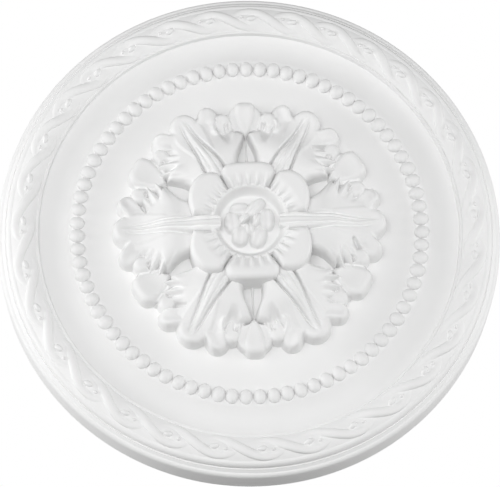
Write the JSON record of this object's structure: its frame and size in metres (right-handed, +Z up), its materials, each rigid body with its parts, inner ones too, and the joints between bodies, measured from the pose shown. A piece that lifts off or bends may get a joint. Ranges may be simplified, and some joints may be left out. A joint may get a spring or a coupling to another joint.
{
  "type": "ceiling rose",
  "caption": "Round moulded ceiling rose with a rope band, a ring of beads, and acanthus leaves round an open flower in the middle.",
  "frame": {"origin": "middle of the flat back, which is fixed to the ceiling", "axes": "+Y out of the flat back into the ceiling or wall, the carved face looks along -Y, +Z up as the picture shows it; on a ceiling +Y turns up"},
  "size_m": [0.4, 0.0667, 0.4],
  "materials": {
    "white_cast": "matte white moulding, primed and unpainted"
  },
  "bodies": {
    "root": {"ceiling_rose": "white_cast"}
  },
  "joints": []
}
